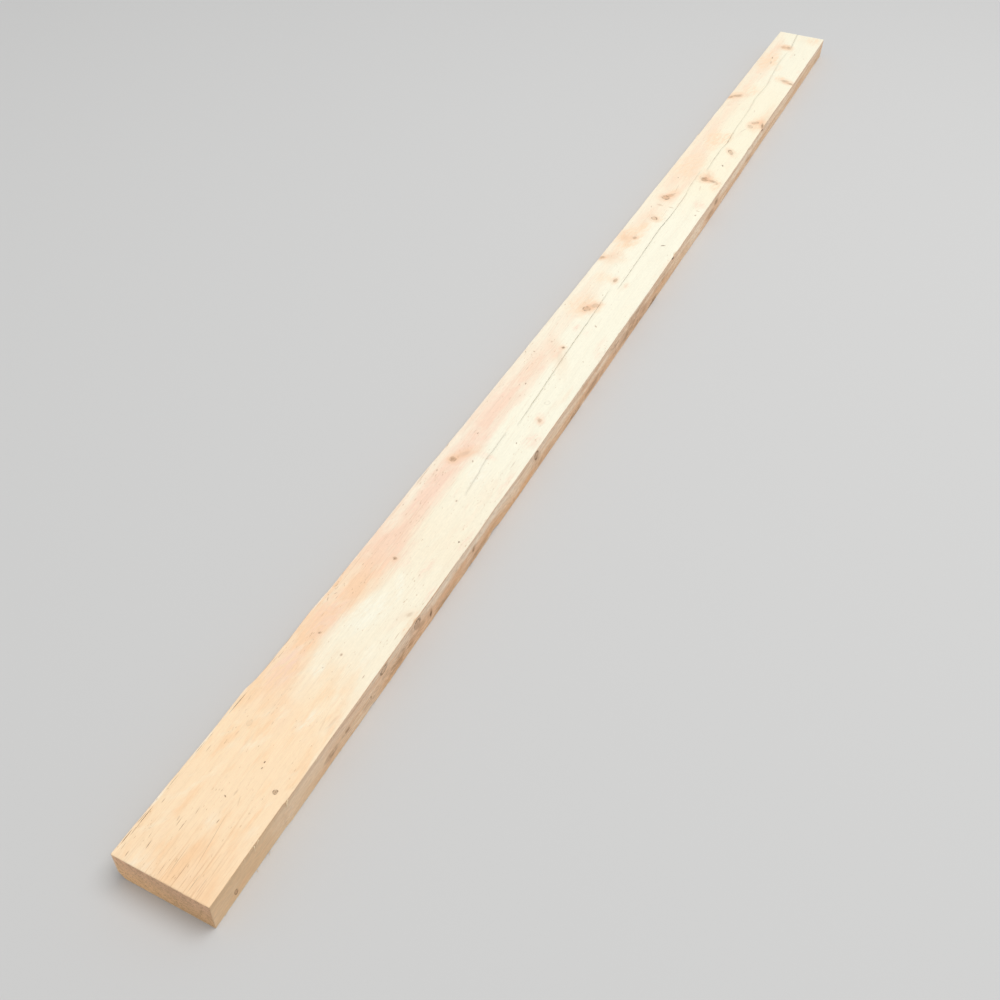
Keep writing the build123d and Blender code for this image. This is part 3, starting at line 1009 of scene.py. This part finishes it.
def sawn_wood(name, base, contrast, torn_amount, speckle):
    """The finish of a face that was sawn along the grain."""
    material, shader, place = new_material(name)
    core, rim, stain, push = knot_marks(place)
    late, band = place_group(GROUPS["rings"], Place=place, Push=push)
    fibres = place_group(GROUPS["fibres"], Place=place)
    dash = place_group(GROUPS["torn"], Place=place, Amount=torn_amount(place))["Dash"]
    shown = times(contrast(place), fade(fibres["Stretches"], 0, 1, 0.1, 1))
    colour = tint(base(place, fibres), LATE_WOOD, late, shown)
    colour = tint(colour, LATE_WOOD, fibres["Lines"], 0.07)
    tone = line(fibres["Hairs"], 0.14, 0.935)
    tone = line(sums("SUBTRACT", fibres["Grit"], 0.5), speckle(place), tone)
    colour = scaled(colour, times(tone, line(band, 0.06, 0.97)))
    colour = tint(colour, WANE, painted(place, "bark_side", "Fac"), 0.7)
    colour = tint(colour, KNOT_STAIN, stain, 0.7)
    colour = blend(times(core, -1, clamp=True), colour, PALE_RIM)
    colour = blend(core, colour, blend(core, FADED_KNOT, DARK_KNOT))
    colour = blend(rim, colour, KNOT_RIM)
    colour = tint(colour, TORN, dash, 0.5)
    colour = tint(colour, CHIPPED, painted(place, "torn", "Fac"), 0.35)
    # Painted shade inside the checks, darker the deeper down the wall
    colour = blend(fade(painted(place, "check_shade", "Fac"), 0.05, 0.7), colour, CHECK_SHADE)
    feed(shader.inputs["Base Color"], colour)
    feed(shader.inputs["Roughness"], line(late, -0.1, 0.78))
    height = times(fibres["Hairs"], 0.0002)
    for mark, relief in ((late, 0.0001), (dash, -0.0002), (rim, -0.0004), (core, 0.0002)):
        height = line(mark, relief, height)
    emboss(shader, height)
    return material


def top_base(place, fibres):
    """Cream wood with a pink to peach band along the left side, and warmer wood at the near end."""
    x, b, _ = axes(place)
    broad = cloud(place, (2.2, 12, 12))
    mottle = cloud(place, (9, 34, 34), 3, 0.6, shift=(3, 3, 0))
    edge = course(x, [
        (-2250, 0), (-1920, 0.05), (-1840, 0.55), (-1700, 0.62), (-1540, 0.58), (-1450, 0.5), (-1330, 0.6),
        (-1100, 0.6), (-880, 0.63), (-720, 0.62), (-560, 0.6), (-480, 0.74), (-400, 0.72), (-330, 0.55),
        (-220, 0.66), (-60, 0.74), (60, 0.72), (160, 0.64), (330, 0.62), (470, 0.54), (640, 0.5), (760, 0.52),
        (950, 0.6), (1200, 0.68), (1500, 0.64), (1800, 0.6), (2050, 0.66), (2250, 0.85)])
    strayed = line(broad, 0.06, line(mottle, 0.07, -0.065))
    inside = sums("ADD", sums("SUBTRACT", b, strayed), WIDTH / 2)
    band = fade(sums("SUBTRACT", inside, times(edge, WIDTH)), -0.016, 0.026)
    depth = course(x, [
        (-2250, 0.9), (-1900, 0.9), (-1700, 0.92), (-1450, 0.85), (-1200, 1), (-800, 1), (-600, 0.75),
        (-480, 0.45), (-300, 0.55), (-100, 0.4), (100, 0.75), (400, 0.7), (700, 0.95), (1000, 0.95),
        (1300, 0.7), (1700, 0.8), (2000, 0.8), (2250, 0.4)])
    wash = times(fade(fibres["Streaks"], 0.3, 0.7, 0.8, 1.15), fade(mottle, 0.3, 0.62, 0.7, 1.3))
    off = times(fade(b, 0.06, 0.09), course(x, [(-1500, 0), (-1200, 0.5), (2250, 0.4)]))
    band = times(band, sums("SUBTRACT", 1, off), wash)
    band = times(band, depth, clamp=True)
    pinkness = course(x, [(-1300, 0.9), (-1000, 0.8), (-600, 0.4), (0, 0), (2250, 0)])
    warmth = course(x, [(-1950, 0.3), (-1750, 1), (-1580, 0.9), (-1400, 0.2), (-1200, 0)])
    dull = course(x, [(-1700, 0.5), (-1500, 0.6), (-1380, 0.85), (-1200, 0.45), (-1000, 0), (200, 0)])
    yellow = course(x, [(250, 0), (600, 0.9), (1400, 0.8), (1750, 0.25), (2000, 0.2), (2250, 0.4)])
    colour = blend(yellow, blend(dull, CREAM, DULL_CREAM), FAR_CREAM)
    colour = blend(band, colour, blend(warmth, blend(pinkness, PEACH, ROSE), WARM_PINK))
    colour = tint(colour, PEACH, fade(mottle, 0.54, 0.72, 0, 0.4), fade(broad, 0.4, 0.6))
    near = fade(line(broad, 0.5, x), -1.72, -1.25, 1, 0)
    near = times(near, course(x, [(-1980, 1), (-1500, 0)]))
    colour = blend(near, colour, NEAR_PEACH)
    washed = cloud(place, (13, 40, 40), 3, 0.6, shift=(6, 2, 4), turn=-28)
    colour = tint(colour, CREAM, fade(washed, 0.52, 0.66, 0, 0.22), fade(broad, 0.35, 0.55))
    pale, rosy, orange = patch_marks(place)
    colour = tint(colour, ORANGE_PATCH, orange, 0.75)
    colour = tint(colour, ROSY_PATCH, rosy, 0.7)
    colour = tint(colour, WHITISH, pale, 0.85)
    colour = tint(colour, PALE_RIM, fade(b, 0.0968, 0.0985, 0, 0.6), fibres["Stretches"])
    tip = fade(line(mottle, -0.3, x), -2.42, -2.22, 1, 0)
    colour = tint(colour, ORANGE, tip, fade(b, -0.02, 0.06, 1, 0.25), 0.6)
    drawn = times(fade(x, -2.215, -2.155, 0.5, 0), fibres["Lines"])
    colour = tint(colour, LATE_WOOD, drawn, fade(b, 0, 0.05, 1, 0.2))
    return tint(colour, ORANGE, near, fade(mottle, 0.48, 0.68, 0, 0.6))


def top_contrast(place):
    """How much the yearly lines show: most at the near end and along the left side, faintly elsewhere."""
    x, b, _ = axes(place)
    shown = course(x, [
        (-2250, 0.55), (-2200, 0.42), (-2130, 0.24), (-2000, 0.12), (-1850, 0.12), (-1650, 0.3), (-1450, 0.4),
        (-1000, 0.36), (-700, 0.28), (-400, 0.15), (0, 0.12), (700, 0.16), (2250, 0.12)])
    near = times(fade(x, -2.15, -1.9, 1, 0), fade(b, 0, 0.05, 1, 0.4))
    to_the_left = times(fade(b, 0, 0.05, 0.2, 1), fade(x, -2.1, -1.8))
    return times(shown, sums("MAXIMUM", near, to_the_left))


def top_torn(place):
    """Torn grain, thinning out past the middle."""
    return course(axes(place)["X"], [
        (-2250, 0.82), (-2050, 0.7), (-1800, 0.65), (-1500, 0.85), (-1000, 0.85), (-500, 0.7), (2250, 0.5)])


def side_base(place, fibres):
    """Tan wood, greyer in its upper half and orange-brown low down past the first stretch, with painted shade
    under the upper arris and a partly painted highlight on the lower one.
    """
    x, _, z = axes(place)
    patch = cloud(place, (3, 26, 26), 3, 0.6, shift=(4, 0, 2))
    at = line(patch, -0.06, sums("ADD", z, 0.03))
    brown = course(x, [
        (-2250, 0), (-2000, 0), (-1850, 0.3), (-1600, 0.6), (-1100, 0.7), (-600, 0.6), (-200, 0.6), (0, 0.4),
        (300, 0.25), (560, 0.6), (900, 0.35), (1500, 0.25), (2250, 0.2)])
    low = times(fade(at, 0.01, 0.045, 1, 0), brown)
    near = fade(line(patch, 0.3, x), -2, -1.7, 1, 0)
    colour = blend(fade(at, 0.025, 0.06), SIDE_TAN, SIDE_GREY)
    colour = blend(near, colour, SIDE_NEAR)
    colour = tint(colour, SIDE_BROWN, low, 0.85)
    past = fade(x, -2.1, -1.7, 0.25, 1)
    fine = cloud(place, (7, 130, 130), 3, 0.65, shift=(5, 9, 1))
    colour = tint(colour, SIDE_BROWN, fade(fibres["Streaks"], 0.45, 0.65, 0, 0.5), past)
    colour = tint(colour, SIDE_PALE, fade(fine, 0.5, 0.68, 0, 0.6), past)
    colour = tint(colour, SIDE_BROWN, fade(fine, 0.5, 0.34, 0, 0.4), past)
    pale, brown_patch, orange = patch_marks(place)
    colour = tint(colour, SIDE_ORANGE, orange, 0.75)
    colour = tint(colour, SIDE_PALE, pale, 0.75)
    colour = blend(brown_patch, colour, SIDE_DARK)
    # Painted shade: the band just under the upper arris is darkened, and the wood below it lightened a little
    colour = scaled(colour, fade(z, 0.052, 0.066, 1.03, 0.95))
    # Pale fibres along the lower arris, partly their own colour and partly a painted highlight, strongest at
    # the near end
    colour = tint(colour, PALE_RIM, fade(z, 0.0015, 0.004, 0.6, 0), fade(x, -1.9, -1.5, 1, 0.3))
    # Painted shadow: a thin dark line just under the upper arris
    from_arris_shadow = sums("ABSOLUTE", sums("SUBTRACT", z, 0.0712))
    return tint(colour, SIDE_BROWN, fade(from_arris_shadow, 0.0005, 0.0022, 0.4, 0), fibres["Stretches"])


def underside_base(place, fibres):
    """The underside: even cream wood with soft streaks."""
    return blend(fibres["Streaks"], DULL_CREAM, PEACH)


def even(amount):
    """The same amount all over a face."""
    return lambda place: amount


def rising(near, far, start, end):
    """An amount that goes from start to end between two places along the plank."""
    return lambda place: fade(axes(place)["X"], near, far, start, end)


def end_grain(name):
    """The finish of a cross-cut end."""
    material, shader, place = new_material(name)
    late, band = place_group(GROUPS["rings"], Place=place, Push=0)
    end = place_group(GROUPS["end"], Place=place)
    _, b, z = axes(place)
    low_edge = fade(z, 0.0015, 0.004, 0.7, 0)
    left_edge = fade(b, WIDTH / 2 - 0.004, WIDTH / 2 - 0.001, 0, 0.6)
    low_wood = scaled(END_YELLOW, fade(b, -0.05, 0.045, 0.94, 1.16))
    high_wood = scaled(END_PINK, fade(b, 0.05, 0.09, 0.98, 1.12))
    up = fade(line(end["Blotches"], 0.08, z), 0.05, 0.11)
    mixed = line(end["Blotches"], 0.75, times(band, 0.15))
    colour = scaled(blend(up, low_wood, high_wood), fade(mixed, 0.3, 0.6, 0.86, 1.14))
    colour = tint(colour, END_LATE, late, 0.3)
    colour = blend(fade(end["Specks"], 0.54, 0.7, 0, 0.6), colour, END_LATE)
    colour = scaled(colour, line(end["Pores"], 0.5, 0.76))
    colour = blend(sums("MAXIMUM", low_edge, left_edge), colour, END_FUZZ)
    feed(shader.inputs["Base Color"], colour)
    feed(shader.inputs["Roughness"], 0.85)
    emboss(shader, line(end["Scratches"], 0.0005, times(end["Pores"], 0.0005)))
    return material


def fibre_wood():
    """The finish of loose fibres and splinters: clean pale wood."""
    material, shader, place = new_material("torn_fibre")
    hairs = cloud(place, (20, 300, 300), 1)
    feed(shader.inputs["Base Color"], blend(hairs, FIBRE_PALE, FIBRE_TAN))
    feed(shader.inputs["Roughness"], 0.7)
    return material


# Splinters seen on the arrises: x, side, edge, length, width in millimetres,
# and the way each one points along, outward and up
SPLINTERS = [
    (-2033, "right", "upper", 17, 3.2, (-0.55, 0.26, -0.7)),
    (-2038, "right", "upper", 11, 2, (-0.2, 0.42, -0.75)),
    (-2131, "right", "upper", 12, 1.9, (-0.3, 0.34, -0.85)),
    (-2118, "right", "upper", 13, 1.4, (-0.9, 0.24, -0.25)),
    (-1940, "right", "upper", 10, 0.9, (-0.8, 0.25, -0.5)),
    (-2137, "right", "lower", 7, 1.2, (-0.3, 0.75, 0.1)),
    (-2101, "right", "lower", 6, 1.2, (-0.5, 0.7, 0.12)),
    (-1690, "right", "lower", 12, 1.2, (0.9, 0.25, 0.2)),
    (-1456, "right", "lower", 9, 1.6, (-0.9, 0.24, 0.2)),
    (-1323, "right", "lower", 6, 1, (-0.8, 0.3, 0.3)),
    (-1560, "right", "upper", 16, 0.9, (0.95, 0.1, -0.2)),
    (-1100, "left", "upper", 12, 0.8, (-0.9, 0.35, -0.1)),
    (-1172, "left", "upper", 22, 1.2, (0.97, 0.16, -0.05)),
    (-1640, "left", "upper", 15, 0.9, (-0.96, 0.2, -0.05)),
    (-1340, "left", "upper", 11, 0.7, (-0.9, 0.35, 0)),
    (990, "left", "upper", 22, 1.6, (-0.97, 0.2, -0.05)),
    (1240, "left", "upper", 16, 1.4, (0.9, 0.35, 0)),
    (1672, "right", "lower", 9, 1.6, (0.9, 0.1, 0.4)),
    (1640, "right", "upper", 18, 1.6, (-0.95, 0.15, -0.15)),
]
HAIRS = 420
ROOM = 0.0004


def spring_point(x, b, z):
    """A point of the straightened plank, moved to where the sprung plank has it."""
    return Vector((x + MIDDLE_X, b + MIDDLE_Y - bend(x), z))


def add_fibre(work, x, side, edge, fibre_length, fibre_width, way, curl):
    """One loose fibre: a thin wedge that leaves an arris, bends a little and runs out to a tip."""
    outward = SIGNS[side]
    root_z = THICKNESS - 0.0012 if edge == "upper" else 0.0014
    root = spring_point(x, outward * (WIDTH / 2 - 0.0006), root_z)
    along = Vector((way[0], way[1] * outward, way[2])).normalized()
    flat = along.cross(Vector((0, 0, 1))).normalized()
    thin = along.cross(flat).normalized()

    def spot(share):
        return root + along * (fibre_length * share) + curl * (fibre_length * share * share)

    for share in (0.3, 0.6, 1):
        room = zip(cad_low, spot(share), cad_high)
        if not all(low + ROOM <= reached <= high - ROOM for low, reached, high in room):
            return False
    before = len(work.verts)
    bmesh.ops.create_cone(work, cap_ends=True, segments=4, radius1=1, radius2=1, depth=1)
    cut_across(work, {edge for vert in list(work.verts)[before:] for edge in vert.link_edges}, 3)
    for vert in list(work.verts)[before:]:
        share = vert.co.z + 0.5
        thickness = fibre_width / 2 * max(1 - share, 0.06) ** 0.7
        place = spot(share) + flat * (vert.co.x * thickness) + thin * (vert.co.y * thickness * 0.55)
        vert.co = [min(max(value, low), high) for low, value, high in zip(cad_low, place, cad_high)]
    return True


def fibre_object(name, material, fill):
    """One mesh of loose fibres, filled by its own function."""
    work = bmesh.new()
    fill(work)
    made = finished_mesh(work, name)
    made.materials.append(material)
    write_values(made, "grain_place", read_vectors(made.vertices, "co"))
    made.polygons.foreach_set("use_smooth", np.ones(len(made.polygons), bool))
    thing = put_in_scene(name, made)
    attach(thing, "root")


def fill_splinters(work):
    """The splinters that the photograph shows."""
    rng = np.random.default_rng(11)
    for x, side, edge, splinter_length, splinter_width, way in SPLINTERS:
        curl = Vector(rng.uniform(-0.06, 0.06, 3))
        if not add_fibre(work, x * MM, side, edge, splinter_length * MM, splinter_width * MM, way, curl):
            print("no room for the splinter at", x, side, edge)


def fill_hairs(work):
    """Fine fibres that the saw left standing on every arris that has room for them."""
    rng = np.random.default_rng(12)
    left = HAIRS
    while left > 0:
        x = rng.uniform(-LENGTH / 2 + 0.01, LENGTH / 2 - 0.01)
        side = "right" if rng.random() < 0.6 else "left"
        edge = "upper" if rng.random() < 0.6 else "lower"
        lift = rng.uniform(-0.5, 0) if edge == "upper" else rng.uniform(0, 0.5)
        way = (rng.choice([-1, 1]), rng.uniform(0.1, 0.8), lift)
        curl = Vector(rng.uniform(-0.3, 0.3, 3))
        hair_length = rng.uniform(0.003, 0.011)
        hair_width = rng.uniform(0.0002, 0.0006)
        if add_fibre(work, x, side, edge, hair_length, hair_width, way, curl):
            left -= 1


mesh = plank_mesh()
plank = put_in_scene("sawn_plank", mesh)
# A narrow face: its colour, and its yearly lines, torn grain and specks, with more past the first stretch
side = (side_base, rising(-2.15, -1.7, 0.12, 0.4), rising(-2, -1.5, 0.4, 0.9), rising(-2.1, -1.6, 0.35, 0.85))
finishes = [
    sawn_wood("sawn_top", top_base, top_contrast, top_torn, even(0.14)),
    sawn_wood("sawn_underside", underside_base, even(0.3), even(0.5), even(0.14)),
    sawn_wood("sawn_right_side", *side),
    sawn_wood("sawn_left_side", *side),
    end_grain("end_grain"),
]
for finish in finishes:
    mesh.materials.append(finish)
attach(plank, "root")
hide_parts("plank")
loose = fibre_wood()
fibre_object("splinters", loose, fill_splinters)
fibre_object("arris_fibres", loose, fill_hairs)


def studio_floor():
    """A plain pale floor that fades into the surround far off."""
    work = bmesh.new()
    bmesh.ops.create_circle(work, cap_ends=True, segments=96, radius=30)
    floor = put_in_scene("floor", finished_mesh(work, "floor"))
    material = bpy.data.materials.new("studio_floor")
    material.use_nodes = True
    tree = material.node_tree
    shader = tree.nodes["Principled BSDF"]
    feed(shader.inputs["Base Color"], FLOOR_GREY)
    feed(shader.inputs["Roughness"], 0.9)
    feed(shader.inputs["Specular IOR Level"], 0.1)
    away = vectors("LENGTH", add(tree, "TexCoord").outputs["Object"], output="Value")
    away = times(fade(away, 3.2, 9), add(tree, "LightPath").outputs["Is Camera Ray"])
    haze = add(tree, "Emission", {}, Color=(1, 1, 1), Strength=BACKDROP).outputs[0]
    mixed = add(tree, "MixShader")
    for socket, value in zip(mixed.inputs, (away, shader.outputs[0], haze)):
        feed(socket, value)
    feed(tree.nodes["Material Output"].inputs["Surface"], mixed.outputs[0])
    floor.data.materials.append(material)


def lights():
    """A wide soft lamp overhead and a pale surround."""
    data = bpy.data.lights.new("overhead", "AREA")
    data.shape = "DISK"
    data.size = LAMP_WIDTH
    data.energy = LAMP_WATTS
    lamp = put_in_scene("overhead", data)
    lamp.location = LAMP_PLACE
    lamp.rotation_euler = (-LAMP_PLACE).to_track_quat("-Z", "Y").to_euler()

    world = bpy.data.worlds.new("studio")
    bpy.context.scene.world = world
    world.use_nodes = True
    surround = world.node_tree.nodes["Background"]
    path = add(world.node_tree, "LightPath").outputs
    clear = sums("MAXIMUM", path["Is Camera Ray"], path["Is Glossy Ray"])
    feed(surround.inputs["Strength"], line(clear, BACKDROP - SURROUND, SURROUND))
    feed(surround.inputs["Color"], (1, 1, 1))


def camera():
    """The camera at the photograph's place and angle."""
    data = bpy.data.cameras.new("photo_camera")
    data.sensor_width = SENSOR_MM
    data.sensor_fit = "HORIZONTAL"
    data.lens = LENS_MM
    data.clip_end = 100
    made = put_in_scene("photo_camera", data)
    right = CAMERA_RIGHT.normalized()
    up = -(CAMERA_DOWN - right * CAMERA_DOWN.dot(right)).normalized()
    turn = Matrix((right, up, right.cross(up))).transposed()
    made.matrix_world = Matrix.Translation(CAMERA_PLACE) @ turn.to_4x4()
    bpy.context.scene.camera = made


studio_floor()
lights()
camera()
bpy.context.scene.view_settings.view_transform = "Standard"
